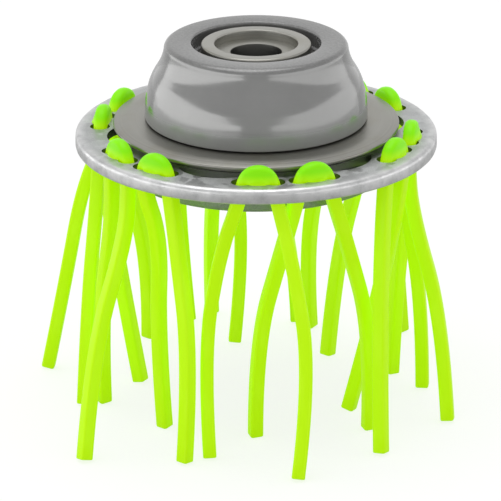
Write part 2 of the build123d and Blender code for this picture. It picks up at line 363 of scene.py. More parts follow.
@dataclass(frozen=True)
class Finish:
    """A finish with one colour, its gloss and the marks that break it up."""

    name: str
    slot: Slot
    colour: Colour
    roughness: float
    metallic: float = 0.0
    clouds: float = 180.0
    shade: Span = (0.85, 1.12)
    gloss_swing: Span = (0.85, 1.2)

    def make(self) -> bpy.types.Material:
        """Builds the material.

        Returns:
            The new material.
        """
        material = bpy.data.materials.new(self.name)
        material.use_nodes = True
        material.diffuse_color = (*self.colour, 1.0)
        graph = Graph(material.node_tree)
        shader = graph.feed(material.node_tree.nodes["Principled BSDF"], Metallic=self.metallic)
        self.surface(graph, shader)
        return material

    def gloss(self, graph: Graph, noise: Socket, across: Span = NOISE) -> Socket:
        """Lets the roughness swing with a noise."""
        low, high = self.gloss_swing
        return graph.spread(noise, across, (self.roughness * low, self.roughness * high))

    def surface(self, graph: Graph, shader: Node) -> None:
        """Wires plain handling marks into colour and gloss.

        Args:
            graph: The material's graph.
            shader: Its Principled BSDF.
        """
        marks = Effects.handling(graph, self.clouds)
        shade = graph.spread(marks.outputs["Cloud"], NOISE, self.shade)
        graph.feed(shader, Base_Color=graph.tint(self.colour, shade),
                   Roughness=self.gloss(graph, marks.outputs["Speck"]))


@dataclass(frozen=True)
class CupPaint(Finish):
    """Sprayed metallic grey enamel, glossy on the flank, grained on the flat top and scuffed at the foot."""

    clouds: float = 90.0
    shade: Span = (0.94, 1.05)
    gloss_swing: Span = (1.0, 1.4)
    gloss_clouds: Span = (0.35, 0.7)
    coat: float = 0.35
    coat_roughness: float = 0.05
    peel: float = 420.0
    peel_depth: float = 0.04 * MM
    peel_strength: float = 0.25
    top: Span = (20.8 * MM, 22.0 * MM)
    top_grain: float = 1500.0
    top_shade: Span = (-0.38, -0.1)
    top_dulling: float = 0.22
    scuff: Span = (5.8 * MM, 7.8 * MM)
    scuff_dulling: float = 0.3
    scuff_metallic: float = 0.1

    def surface(self, graph: Graph, shader: Node) -> None:
        """Wires clouding, orange peel, the grain of the top and the scuffed foot.

        Args:
            graph: The material's graph.
            shader: Its Principled BSDF.
        """
        height = graph.axis("Object", "Z")
        flat = graph.spread(height, self.top, RISE)
        scuff = graph.spread(height, self.scuff, FALL)
        cloud = Effects.handling(graph, self.clouds).outputs["Cloud"]
        grain = Effects.handling(graph, self.top_grain).outputs["Cloud"]
        peel = Effects.handling(graph, self.peel).outputs["Cloud"]
        shade = graph.spread(cloud, NOISE, self.shade)
        speck = graph.math("MULTIPLY", flat, graph.spread(grain, NOISE, self.top_shade))
        worn_top = graph.math("MULTIPLY", flat, self.top_dulling)
        worn = graph.math("ADD", worn_top, graph.math("MULTIPLY", scuff, self.scuff_dulling))
        relief = graph.math("ADD", peel, graph.math("MULTIPLY", flat, grain))
        graph.feed(
            shader,
            Base_Color=graph.tint(self.colour, graph.math("ADD", shade, speck)),
            Metallic=graph.spread(scuff, RISE, (self.metallic, self.scuff_metallic)),
            Roughness=graph.math("ADD", self.gloss(graph, cloud, self.gloss_clouds), worn),
            Normal=graph.bump(relief, self.peel_depth, self.peel_strength),
            Coat_Weight=self.coat,
            Coat_Roughness=self.coat_roughness,
        )


@dataclass(frozen=True)
class TurnedSteel(Finish):
    """Bare steel with fine rings from the lathe and faint stains, and painted shade that darkens the bore."""

    clouds: float = 120.0
    shade: Span = (0.88, 1.1)
    rings: float = 5200.0
    ring_depth: float = 0.03 * MM
    ring_strength: float = 0.3
    stain: Colour = (0.26, 0.24, 0.17)
    stain_clouds: Span = (0.5, 0.75)
    stain_share: float = 0.35
    # painted shade: nearer the spindle than this radius the surface takes a dark colour, for the shade in the
    # bore
    bore: float = 0.0
    bore_fade: float = 1.02
    bore_shade_colour: Colour = (0.14, 0.14, 0.133)

    def surface(self, graph: Graph, shader: Node) -> None:
        """Wires the rings, the stains and the painted shade in the bore into colour, gloss and relief.

        Args:
            graph: The material's graph.
            shader: Its Principled BSDF.
        """
        rings = Effects.turning(graph, self.rings).outputs["Shade"]
        cloud = Effects.handling(graph, self.clouds).outputs["Cloud"]
        stained = graph.spread(cloud, self.stain_clouds, (0.0, self.stain_share))
        clean = graph.tint(self.colour, graph.spread(rings, NOISE, self.shade))
        tone = graph.mix(stained, clean, self.stain)
        # painted shade in the bore
        inside = graph.spread(graph.radius(), (self.bore, self.bore * self.bore_fade + TINY), FALL)
        graph.feed(shader, Base_Color=graph.mix(inside, tone, self.bore_shade_colour),
                   Roughness=self.gloss(graph, rings),
                   Normal=graph.bump(rings, self.ring_depth, self.ring_strength))


@dataclass(frozen=True)
class GalvanisedSteel(Finish):
    """Spangled zinc, rubbed bright toward the outer edge, with the punched walls of its openings darkened as
    bare cut steel and painted shade.
    """

    clouds: float = 260.0
    shade: Span = (0.82, 1.12)
    speck_shade: Span = (0.86, 1.12)
    flakes: float = 420.0
    grain_depth: float = 0.05 * MM
    grain_strength: float = 0.35
    bright: Colour = (0.72, 0.72, 0.72)
    bright_ring: Span = (40.8 * MM, 43.0 * MM)
    bright_gloss: float = 0.12
    rub_clouds: Span = (0.35, 0.6)
    rub_share: Span = (0.35, 1.0)
    # bare cut steel and painted shade: the upright walls of the openings, within a radius, take this darker
    # colour
    raw_and_shaded_edge: Colour = (0.17, 0.175, 0.165)
    raw_and_shaded_within: float = 0.0
    raw_and_shaded_fade: float = 0.1 * MM
    raw_and_shaded_slope: Span = (0.3, 0.7)

    def surface(self, graph: Graph, shader: Node) -> None:
        """Wires the crystals, the bright edge and the darkened walls of the openings, bare cut steel and
        painted shade.

        Args:
            graph: The material's graph.
            shader: Its Principled BSDF.
        """
        zinc = Effects.spangle(graph, self.flakes)
        flake = zinc.outputs["Flake"]
        marks = Effects.handling(graph, self.clouds)
        radius = graph.radius()
        speck = graph.spread(marks.outputs["Speck"], NOISE, self.speck_shade)
        shade = graph.math("MULTIPLY", graph.spread(flake, RISE, self.shade), speck)
        rubbed = graph.spread(marks.outputs["Cloud"], self.rub_clouds, self.rub_share)
        rub = graph.math("MULTIPLY", graph.spread(radius, self.bright_ring, RISE), rubbed)
        tone = graph.mix(rub, graph.tint(self.colour, shade), self.bright)
        level = graph.math("ABSOLUTE", graph.axis("Normal", "Z"))
        # the walls of the openings are darkened, partly bare cut steel and partly painted shade
        inside = graph.spread(radius, (self.raw_and_shaded_within, self.raw_and_shaded_within + self.raw_and_shaded_fade), FALL)
        raw_and_shaded = graph.math("MULTIPLY", graph.spread(level, self.raw_and_shaded_slope, FALL), inside)
        shine = graph.math("MULTIPLY", rub, self.bright_gloss)
        graph.feed(shader, Base_Color=graph.mix(raw_and_shaded, tone, self.raw_and_shaded_edge),
                   Roughness=graph.math("SUBTRACT", self.gloss(graph, flake, RISE), shine),
                   Normal=graph.bump(zinc.outputs["Grain"], self.grain_depth, self.grain_strength))


@dataclass(frozen=True)
class NeonNylon(Finish):
    """Translucent fluorescent nylon with drawn streaks along the strand; the loops are a deeper green as
    painted shade, the legs paler along the streaks as painted sheen, and the emission lights it as painted
    light.
    """

    gloss_swing: Span = (0.8, 1.25)
    # painted shade: the loops take this deeper green
    loop_shade_colour: Colour = (0.21, 0.70, 0.001)
    loop_height: Span = (-0.5 * MM, 2.2 * MM)
    # painted sheen: the legs pale toward this colour along their brighter streaks, which are also drawn marks
    pale: Colour = (0.54, 0.90, 0.02)
    pale_streaks: Span = (0.48, 0.72)
    pale_share: float = 0.45
    streak_scale: tuple[float, float, float] = (9.0, 0.6, 1.0)
    streak_depth: float = 0.06 * MM
    streak_strength: float = 0.3
    # painted light: emission that lights the strand by itself, for its fluorescence
    painted_glow: float = 0.45
    sheen: float = 0.22

    def surface(self, graph: Graph, shader: Node) -> None:
        """Wires the tint by height, which paints shade on the loops, and the streaks along the strand, which
        also paint sheen on the legs.

        Args:
            graph: The material's graph.
            shader: Its Principled BSDF.
        """
        # painted shade on the loops, by height
        raised = graph.spread(graph.axis("Object", "Z"), self.loop_height, RISE)
        body = graph.mix(raised, self.colour, self.loop_shade_colour)
        stretch = graph.add("ShaderNodeMapping")
        graph.feed(stretch, Vector=graph.place("UV"), Scale=self.streak_scale)
        noise = graph.add("ShaderNodeTexNoise")
        streak = graph.feed(noise, Vector=stretch.outputs[0], Scale=1.0, Detail=3.0).outputs["Fac"]
        # painted sheen along the streaks, kept off the loops
        lit = graph.spread(streak, self.pale_streaks, (0.0, self.pale_share))
        lit = graph.math("MULTIPLY", lit, graph.math("SUBTRACT", 1.0, raised))
        tone = graph.mix(lit, body, self.pale)
        # the strand's emission is painted light
        graph.feed(shader, Base_Color=tone, Emission_Color=tone, Emission_Strength=self.painted_glow,
                   Specular_IOR_Level=self.sheen, Roughness=self.gloss(graph, streak),
                   Normal=graph.bump(streak, self.streak_depth, self.streak_strength))


class Look(Enum):
    """The finishes that the pieces wear."""

    CUP_PAINT = CupPaint("grey_cup_paint", Slot.CUP_PAINT, (0.295, 0.295, 0.292), 0.14, 0.6)
    # the hub steel paints shade into the hub's bore
    HUB_STEEL = TurnedSteel("turned_hub_steel", Slot.HUB_STEEL, (0.37, 0.365, 0.335), 0.36, 1.0,
                            bore=6.13 * MM)
    DISC_STEEL = TurnedSteel("pressed_disc_steel", Slot.DISC_STEEL, (0.325, 0.32, 0.293), 0.4, 1.0,
                             rings=2600.0)
    # the plate's hole and slot walls carry painted shade as well as bare cut steel
    PLATE_ZINC = GalvanisedSteel("galvanised_sheet", Slot.GALVANISED, (0.50, 0.51, 0.51), 0.5, 1.0,
                                 raw_and_shaded_within=41.0 * MM)
    # painted reflection: the drum's darker, greenish colour stands in for the green legs that it reflects
    DRUM_ZINC = GalvanisedSteel("dull_zinc_painted_reflection", Slot.GALVANISED, (0.33, 0.39, 0.31), 0.5, 1.0)
    BEARING_STEEL = Finish("ground_bearing_steel", Slot.BEARING_STEEL, (0.55, 0.55, 0.56), 0.22, 1.0)
    CAGE_STEEL = Finish("pressed_cage_steel", Slot.CAGE_STEEL, (0.42, 0.41, 0.39), 0.38, 1.0)
    SPRING_STEEL = Finish("blackened_spring_steel", Slot.SPRING_STEEL, (0.05, 0.05, 0.055), 0.45, 0.8)
    SEAL_RUBBER = Finish("seal_rubber", Slot.SEAL_RUBBER, (0.085, 0.085, 0.08), 0.6)
    LINE_NYLON = NeonNylon("neon_nylon", Slot.LINE_NYLON, (0.475, 0.85, 0.0005), 0.4)


class Wardrobe:
    """Hands out each look's material, made once."""

    def __init__(self) -> None:
        """Starts with no materials made."""
        self._made: dict[Look, bpy.types.Material] = {}

    def dress(self, piece: Piece, look: Look) -> None:
        """Puts a finish on a piece.

        Args:
            piece: The mesh object.
            look: The finish to put on it.
        """
        if look not in self._made:
            self._made[look] = look.value.make()
        piece.data.materials.clear()
        piece.data.materials.append(self._made[look])


# modelling helpers


def deselect_all() -> None:
    """Leaves edit mode and deselects every object."""
    if bpy.context.object is not None and bpy.context.object.mode != "OBJECT":
        bpy.ops.object.mode_set(mode="OBJECT")
    bpy.ops.object.select_all(action="DESELECT")


def make_active(piece: Piece) -> None:
    """Selects one piece alone and makes it active."""
    deselect_all()
    piece.select_set(True)
    bpy.context.view_layer.objects.active = piece


def ring_spot(radius: float, degrees: float) -> Corner:
    """Finds a spot on a circle round the spindle, by its angle from the front toward +X."""
    angle = math.radians(degrees)
    return radius * math.sin(angle), -radius * math.cos(angle)


def cut_away(piece: Piece, cutter: Piece) -> None:
    """Cuts one mesh out of another and removes the cutter.

    Args:
        piece: The mesh that is cut.
        cutter: The closed mesh that is taken away.
    """
    make_active(piece)
    cut = piece.modifiers.new("cut", "BOOLEAN")
    cut.operation = "DIFFERENCE"
    cut.solver = "EXACT"
    cut.object = cutter
    bpy.ops.object.modifier_apply(modifier=cut.name)
    bpy.data.objects.remove(cutter)


def seat(piece: Piece, body: Body, look: Look, *nodes: str) -> Piece:
    """Lets a piece ride on a body in place of its CAD nodes.

    Args:
        piece: The finished piece.
        body: The body that carries it.
        look: The finish that it wears; not used.
        nodes: CAD nodes that it stands for.

    Returns:
        The same piece.
    """
    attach(piece, body.value)
    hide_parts(*nodes)
    LOG.info("%s rides on %s for %s", piece.name, body.value, ", ".join(nodes))
    return piece


@dataclass
class TurnedPiece:
    """A piece pulled ring by ring out of a circle, as a profile turned about the spindle."""

    node: str
    name: str
    look: Look
    body: Body = Body.HEAD
    bore_radius: float = 8.55
    segments: int = 192
    weld: float = 0.001
    ring_slack: float = 0.004

    @property
    def foot(self) -> float:
        """Height of the CAD node's lower face in mm."""
        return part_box(self.node)[0][2] / MM

    @property
    def top(self) -> float:
        """Height of the CAD node's upper face in mm."""
        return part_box(self.node)[1][2] / MM

    def profile(self) -> Outline:
        """Draws the outline, which each kind of piece does in its own way.

        Returns:
            The corners as radius and height in mm, and size and steps of the rounds by corner.
        """
        raise NotImplementedError

    def pierce(self, piece: Piece) -> None:
        """Cuts the openings, where a kind of piece has any."""

    def build(self, wardrobe: Wardrobe) -> Piece:
        """Models, dresses and seats the piece.

        Args:
            wardrobe: Where its finish comes from.

        Returns:
            The finished piece.
        """
        piece = self._turn(*self.profile())
        self.pierce(piece)
        wardrobe.dress(piece, self.look)
        return seat(piece, self.body, self.look, self.node)

    def _turn(self, outline: list[Corner], rounds: Rounds) -> Piece:
        """Models the piece at its place.

        Args:
            outline: Its corners in mm.
            rounds: Size in mm and steps of the rounds by corner.

        Returns:
            The new mesh object, at the origin.
        """
        corners = [(radius * MM, height * MM) for radius, height in outline]
        deselect_all()
        first_radius, first_height = corners[0]
        bpy.ops.mesh.primitive_circle_add(vertices=self.segments, radius=first_radius, fill_type="NOTHING",
                                          location=(0.0, 0.0, first_height))
        piece = bpy.context.object
        piece.name = self.name
        piece.data.name = self.name
        bpy.ops.object.transform_apply(location=True, rotation=True, scale=True)
        bpy.ops.object.mode_set(mode="EDIT")
        bpy.ops.mesh.select_mode(type="EDGE")
        bpy.ops.mesh.select_all(action="SELECT")
        for (radius, height), (next_radius, next_height) in zip(corners, corners[1:] + corners[:1]):
            bpy.ops.mesh.extrude_edges_move(
                TRANSFORM_OT_translate={"value": (0.0, 0.0, next_height - height)})
            share = next_radius / radius
            bpy.ops.transform.resize(value=(share, share, 1.0), center_override=(0.0, 0.0, next_height))
        bpy.ops.mesh.select_all(action="SELECT")
        bpy.ops.mesh.remove_doubles(threshold=self.weld * MM)
        bpy.ops.mesh.normals_make_consistent(inside=False)
        for index, (size, steps) in rounds.items():
            self._select_ring(piece, *corners[index])
            bpy.ops.mesh.bevel(offset=size * MM, segments=steps, affect="EDGES")
        bpy.ops.object.mode_set(mode="OBJECT")
        bpy.ops.object.shade_smooth_by_angle(angle=SMOOTH_ANGLE)
        return piece

    def _select_ring(self, piece: Piece, radius: float, height: float) -> None:
        """Selects the edges of one ring of a piece in edit mode.

        Args:
            piece: The piece being edited.
            radius: The ring's radius in metres.
            height: The ring's height in metres.
        """
        slack = self.ring_slack * MM
        mesh = bmesh.from_edit_mesh(piece.data)
        for edge in mesh.edges:
            edge.select_set(all(
                abs(math.hypot(v.co.x, v.co.y) - radius) < slack and abs(v.co.z - height) < slack
                for v in edge.verts))
        bmesh.update_edit_mesh(piece.data)


# sub-assemblies


@dataclass
class HubBush(TurnedPiece):
    """Flanged bush with a nut seat, round which the cup runs."""

    node: str = "hub_bush"
    name: str = "hub_bush_turned"
    look: Look = Look.HUB_STEEL
    bore_radius: float = 6.1
    shank_radius: float = 8.5
    head_radius: float = 13.2
    head_height: float = 3.6
    seat_radius: float = 10.0
    seat_depth: float = 2.2

    def profile(self) -> Outline:
        """Draws the shank, the flange and the seat in its head.

        Returns:
            The corners and the rounds.
        """
        foot, top = self.foot, self.top
        under = top - self.head_height
        floor = top - self.seat_depth
        corners = [
            (self.bore_radius, foot), (self.shank_radius, foot), (self.shank_radius, under),
            (self.head_radius, under), (self.head_radius, top), (self.seat_radius, top),
            (self.seat_radius, floor), (self.bore_radius, floor),
        ]
        return corners, {4: (0.5, 4), 5: (0.3, 3), 7: (0.25, 2)}


@dataclass
class GlideCup(TurnedPiece):
    """Domed cup with a rounded lip, a hollow neck and a soft shoulder, open round the bearing's boss."""

    node: str = "glide_cup"
    name: str = "glide_cup_pressed"
    look: Look = Look.CUP_PAINT
    body: Body = Body.CUP
    bore_radius: float = 15.5
    lip_radius: float = 21.9
    neck_radius: float = 22.4
    neck_drop: float = 4.0
    cone_radius: float = 25.4
    cone_drop: float = 8.9
    shoulder_radius: float = 26.5
    shoulder_drop: float = 13.1
    base_radius: float = 26.75
    base_drop: float = 15.7
    wall: float = 2.6
    cavity_drop: float = 7.1
    seat_drop: float = 3.9
    bearing_radius: float = 17.5
    boss_radius: float = 20.3
    boss_foot_gap: float = 1.8

    def profile(self) -> Outline:
        """Draws the skin from lip to foot, then the hollow and the boss inside it.

        Returns:
            The corners and the rounds.
        """
        foot, top = self.foot, self.top
        slope = (self.cone_radius - self.neck_radius) / (self.cone_drop - self.neck_drop)
        cavity_radius = self.neck_radius + slope * (self.cavity_drop - self.neck_drop) - self.wall
        inner_radius = self.base_radius - self.wall
        boss_foot = foot + self.boss_foot_gap
        corners = [
            (self.bore_radius, top), (self.lip_radius, top), (self.neck_radius, top - self.neck_drop),
            (self.cone_radius, top - self.cone_drop), (self.shoulder_radius, top - self.shoulder_drop),
            (self.base_radius, top - self.base_drop), (self.base_radius, foot),
            (inner_radius, foot), (inner_radius, top - self.base_drop),
            (self.cone_radius - self.wall, top - self.cone_drop), (cavity_radius, top - self.cavity_drop),
            (self.boss_radius, top - self.cavity_drop), (self.boss_radius, boss_foot),
            (self.bearing_radius, boss_foot), (self.bearing_radius, top - self.seat_drop),
            (self.bore_radius, top - self.seat_drop),
        ]
        return corners, {
            0: (0.45, 3), 1: (1.28, 8), 2: (2.3, 12), 3: (1.7, 8), 4: (1.12, 8), 5: (0.5, 4), 6: (0.45, 3),
        }


@dataclass
class CoverDisc(TurnedPiece):
    """Pressed steel disc with a sloped rim and a rounded edge."""

    node: str = "cover_disc"
    name: str = "cover_disc_pressed"
    look: Look = Look.DISC_STEEL
    outer_radius: float = 34.4
    flat_radius: float = 31.2
    rim_drop: float = 0.7

    def profile(self) -> Outline:
        """Draws the flat and the sloped rim.

        Returns:
            The corners and the rounds.
        """
        foot, top = self.foot, self.top
        corners = [
            (self.bore_radius, foot), (self.outer_radius, foot), (self.outer_radius, top - self.rim_drop),
            (self.flat_radius, top), (self.bore_radius, top),
        ]
        return corners, {1: (0.12, 2), 2: (0.32, 5), 3: (0.65, 6)}


@dataclass
class SpacerWasher(TurnedPiece):
    """Flat ring between the disc and the plate, with rounded outer edges."""

    node: str = "spacer_washer"
    name: str = "spacer_washer_stamped"
    look: Look = Look.DISC_STEEL
    outer_radius: float = 31.4
    edge_round: float = 0.2

    def profile(self) -> Outline:
        """Draws the flat ring.

        Returns:
            The corners and the rounds.
        """
        foot, top = self.foot, self.top
        corners = [(self.bore_radius, foot), (self.outer_radius, foot), (self.outer_radius, top),
                   (self.bore_radius, top)]
        return corners, {1: (self.edge_round, 4), 2: (self.edge_round, 4)}


@dataclass
class LowerDrum(TurnedPiece):
    """Thick foot ring with a pilot recess in its underside."""

    node: str = "lower_drum"
    name: str = "lower_drum_turned"
    look: Look = Look.DRUM_ZINC
    outer_radius: float = 32.3
    foot_round: float = 1.0
    pilot_radius: float = 10.0
    pilot_depth: float = 2.5
    pilot_round: float = 0.3

    def profile(self) -> Outline:
        """Draws the ring and its recess.

        Returns:
            The corners and the rounds.
        """
        foot, top = self.foot, self.top
        ceiling = foot + self.pilot_depth
        corners = [
            (self.bore_radius, ceiling), (self.pilot_radius, ceiling), (self.pilot_radius, foot),
            (self.outer_radius, foot), (self.outer_radius, top), (self.bore_radius, top),
        ]
        return corners, {3: (self.foot_round, 3), 2: (self.pilot_round, 2)}


@dataclass
class LinePlate(TurnedPiece):
    """Galvanised plate with a turned-down rim, the line holes in pairs and six clearing slots."""

    node: str = "line_plate"
    name: str = "line_plate_stamped"
    look: Look = Look.PLATE_ZINC
    outer_radius: float = 43.5
    rim_inner_radius: float = 41.3
    rim_depth: float = 1.5
    rim_round: float = 1.2
    rim_foot_round: float = 0.5
    rim_root_round: float = 0.3
    hole_radius: float = 2.4
    hole_ring: float = 37.7
    hole_half: float = 6.0
    hole_sides: int = 40
    loop_half: float = 10.25
    group_start: float = 10.9
    groups: int = 6
    slot_reach: float = 36.2
    slot_end: float = 8.0
    slot_half: float = 2.5
    slot_floor: float = 31.7
    slot_sides: int = 96
    punch_reach: float = 3.0

    def loop_angles(self) -> list[float]:
        """Middle angle of each line loop, two to a group."""
        middles = [self.group_start + index * FULL_TURN / self.groups for index in range(self.groups)]
        return [middle + side * self.loop_half for middle in middles for side in (-1.0, 1.0)]

    def hole_angles(self, middle: float) -> tuple[float, float]:
        """Angles of the two holes of a loop."""
        return middle - self.hole_half, middle + self.hole_half

    def profile(self) -> Outline:
        """Draws the sheet and its rim.

        Returns:
            The corners and the rounds.
        """
        foot, top = self.foot, self.top
        rim_foot = foot - self.rim_depth
        corners = [
            (self.bore_radius, foot), (self.rim_inner_radius, foot), (self.rim_inner_radius, rim_foot),
            (self.outer_radius, rim_foot), (self.outer_radius, top), (self.bore_radius, top),
        ]
        foot_round = (self.rim_foot_round, 3)
        return corners, {1: (self.rim_root_round, 2), 2: foot_round, 3: foot_round, 4: (self.rim_round, 7)}

    def pierce(self, piece: Piece) -> None:
        """Punches the line holes and the clearing slots.

        Args:
            piece: The turned plate.
        """
        for middle in self.loop_angles():
            for angle in self.hole_angles(middle):
                cut_away(piece, self._bar(self.hole_radius, self.hole_ring, angle, self.hole_sides))
        for index in range(self.groups):
            angle = self.group_start + (index + 0.5) * FULL_TURN / self.groups
            cut_away(piece, self._slot_cutter(angle))
        make_active(piece)
        bpy.ops.object.shade_smooth_by_angle(angle=SMOOTH_ANGLE)

    def _bar(self, radius: float, ring: float, angle: float, sides: int) -> Piece:
        """Models an upright round bar that reaches through the sheet.

        Args:
            radius: The bar's radius in mm.
            ring: Its distance from the spindle in mm.
            angle: Its angle round the spindle in degrees.
            sides: How many sides stand for the round.

        Returns:
            The bar.
        """
        foot, top = self.foot, self.top
        x, y = ring_spot(ring, angle)
        deselect_all()
        bpy.ops.mesh.primitive_cylinder_add(vertices=sides, radius=radius * MM,
                                            depth=self.punch_reach * (top - foot) * MM,
                                            location=(x * MM, y * MM, (foot + top) / 2 * MM))
        return bpy.context.object

    def _slot_cutter(self, angle: float) -> Piece:
        """Models the punch of one clearing slot: a round bar stretched sideways, flat toward the hub.

        Args:
            angle: The slot's angle in degrees.

        Returns:
            The cutter.
        """
        ring = self.slot_reach - self.slot_end
        cutter = self._bar(self.slot_end, ring, angle, self.slot_sides)
        cutter.rotation_euler.z = math.radians(angle)
        cutter.scale.x = 1.0 + ring * math.radians(self.slot_half) / self.slot_end
        bpy.ops.object.transform_apply(location=True, rotation=True, scale=True)
        bpy.ops.object.mode_set(mode="EDIT")
        bpy.ops.mesh.select_all(action="SELECT")
        flat_x, flat_y = ring_spot(self.slot_floor, angle)
        bpy.ops.mesh.bisect(plane_co=(flat_x * MM, flat_y * MM, 0.0), plane_no=(*ring_spot(1.0, angle), 0.0),
                            use_fill=True, clear_inner=True)
        bpy.ops.object.mode_set(mode="OBJECT")
        return cutter


@dataclass
class CuttingLine:
    """One square strand looped through two holes, its two legs hanging."""

    number: int
    holes: tuple[Corner, Corner]
    drifts: list[list[Drift]]
    width: float = 3.2
    leg_corner: float = 0.6
    loop_corner: float = 1.25
    corner_steps: int = 3
    spline_steps: int = 10
    crown: float = 2.45
    crown_inset: float = 1.1
    exit: float = -4.5
    exit_spread: float = 0.4
    heights: tuple[float, float, float] = (-18.0, -43.5, -68.5)
    seat_height: float = -1.0
    pinch: float = 1.35
    press_from: float = -0.3
    press_over: float = 1.0
    flare_out: float = 2.0
    flare_in: float = 1.3
    foot_run: float = 0.5
    foot_height: float = -0.3
    tip_round: float = 0.25
    wrap_length: float = 10.0

    @property
    def node(self) -> str:
        """The line's CAD node."""
        return f"line_{self.number:02d}"

    @property
    def hole_middles(self) -> tuple[Vector, Vector]:
        """The middles of the two holes in the plate's upper face, in mm."""
        first, second = self.holes
        return Vector((*first, 0.0)), Vector((*second, 0.0))

    def leg(self, side: int) -> list[Vector]:
        """Places the route points of one leg.

        Args:
            side: 0 for the first hole, 1 for the second.

        Returns:
            The points from the crown down to the tip, in metres.
        """
        hole = self.hole_middles[side]
        toward = (self.hole_middles[1 - side] - hole).normalized()
        points = [
            hole + toward * self.crown_inset + Vector((0.0, 0.0, self.crown)),
            hole - toward * self.exit_spread + Vector((0.0, 0.0, self.exit)),
        ]
        for (dx, dy), height in zip(self.drifts[side], self.heights):
            points.append(hole + Vector((dx, dy, height)))
        return [point * MM for point in points]

    def centre_line(self) -> list[Vector]:
        """Reads points from the smooth spline of the whole strand.

        Returns:
            The points from the first tip over the loop to the second tip.
        """
        route = self.leg(0)[::-1] + self.leg(1)
        curve = bpy.data.curves.new(f"{self.node}_route", "CURVE")
        curve.dimensions = "3D"
        curve.resolution_u = self.spline_steps
        spline = curve.splines.new("NURBS")
        spline.points.add(len(route) - 1)
        for point, spot in zip(spline.points, route):
            point.co = (*spot, 1.0)
        spline.order_u = 3
        spline.use_endpoint_u = True
        holder = bpy.data.objects.new(curve.name, curve)
        mesh = bpy.data.meshes.new_from_object(holder)
        points = [vertex.co.copy() for vertex in mesh.vertices]
        bpy.data.objects.remove(holder)
        bpy.data.curves.remove(curve)
        bpy.data.meshes.remove(mesh)
        return points

    def section(self, corner: float) -> list[Corner]:
        """Draws the outline of the square strand.

        Args:
            corner: Radius of its corners in mm.

        Returns:
            Sideways and upward places round the outline, in metres.
        """
        inset = (self.width / 2 - corner) * math.sqrt(2.0)
        spots = []
        for turn in range(4):
            middle = math.radians(QUARTER_TURN * (turn + 0.5))
            for step in range(self.corner_steps + 1):
                angle = math.radians(QUARTER_TURN * (turn + step / self.corner_steps))
                x = inset * math.cos(middle) + corner * math.cos(angle)
                y = inset * math.sin(middle) + corner * math.sin(angle)
                spots.append((x * MM, y * MM))
        return spots

    def frames(self, points: list[Vector]) -> list[tuple[Vector, Vector]]:
        """Carries the strand's side and up directions along it without twisting.

        Args:
            points: The strand's centre line.

        Returns:
            Side and up at each point.
        """
        count = len(points)
        tangents = []
        for index in range(count):
            before = points[max(index - 1, 0)]
            after = points[min(index + 1, count - 1)]
            tangents.append((after - before).normalized())
        middle = max(range(count), key=lambda index: points[index].z)
        sides: list[Vector] = [Vector()] * count
        sides[middle] = Vector((0.0, 0.0, 1.0)).cross(tangents[middle]).normalized()
        for step in (1, -1):
            index = middle
            while 0 <= index + step < count:
                turn = tangents[index].rotation_difference(tangents[index + step])
                sides[index + step] = turn @ sides[index]
                index += step
        return [(side, tangent.cross(side).normalized()) for side, tangent in zip(sides, tangents)]

    def squeezed(self, spot: Vector, side: Vector, height: float, x: float, y: float) -> Vector:
        """Presses the inner side of the loop on the plate, where the tight strand spreads outward.

        Args:
            spot: Where the skin would be on a loose loop.
            side: The strand's side direction there.
            height: Height of its centre line, in metres.
            x: Sideways place in the outline, in metres.
            y: Upward place in the outline, in metres.

        Returns:
            The squeezed spot.
        """
        rise = min(max((height / MM - self.press_from) / self.press_over, 0.0), 1.0)
        depth = min(max(-2.0 * self.pinch * y / (self.width * MM), 0.0), 1.0)
        first, second = self.hole_middles
        middle = (first + second) / 2 * MM
        bridge = (second - first).normalized()
        along = bridge * (spot - middle).dot(bridge) * self.foot_run
        flare = self.flare_in if x > 0.0 else self.flare_out
        foot = middle + along + side * x * flare + Vector((0.0, 0.0, self.foot_height * MM))
        return spot.lerp(foot, rise * depth)

    def tube(self, name: str, points: list[Vector], frames: list[tuple[Vector, Vector]],
             looped: bool) -> Piece:
        """Skins a square strand along its points.

        Args:
            name: The piece's name.
            points: Its centre line.
            frames: Side and up at each point.
            looped: Whether the piece is the squeezed loop.

        Returns:
            The closed mesh object.
        """
        outline = self.section(self.loop_corner if looped else self.leg_corner)
        mesh = bmesh.new()
        wrap = mesh.loops.layers.uv.new("UVMap")
        rings = []
        run = [0.0]
        for before, after in zip(points, points[1:]):
            run.append(run[-1] + (after - before).length)
        for point, (side, up) in zip(points, frames):
            ring = []
            for x, y in outline:
                spot = point + side * x + up * y
                ring.append(mesh.verts.new(self.squeezed(spot, side, point.z, x, y) if looped else spot))
            rings.append(ring)
        count = len(outline)
        for row, (near, far) in enumerate(zip(rings, rings[1:])):
            for k in range(count):
                after = (k + 1) % count
                face = mesh.faces.new((near[k], near[after], far[after], far[k]))
                face.smooth = True
                rounds = (k / count, (k + 1) / count, (k + 1) / count, k / count)
                alongs = (run[row], run[row], run[row + 1], run[row + 1])
                for loop, u, v in zip(face.loops, rounds, alongs):
                    loop[wrap].uv = (u, v / (self.wrap_length * MM))
        for ring in (rings[0][::-1], rings[-1]):
            mesh.faces.new(ring)
        bmesh.ops.recalc_face_normals(mesh, faces=mesh.faces)
        data = bpy.data.meshes.new(name)
        mesh.to_mesh(data)
        mesh.free()
        piece = bpy.data.objects.new(name, data)
        bpy.context.collection.objects.link(piece)
        return piece

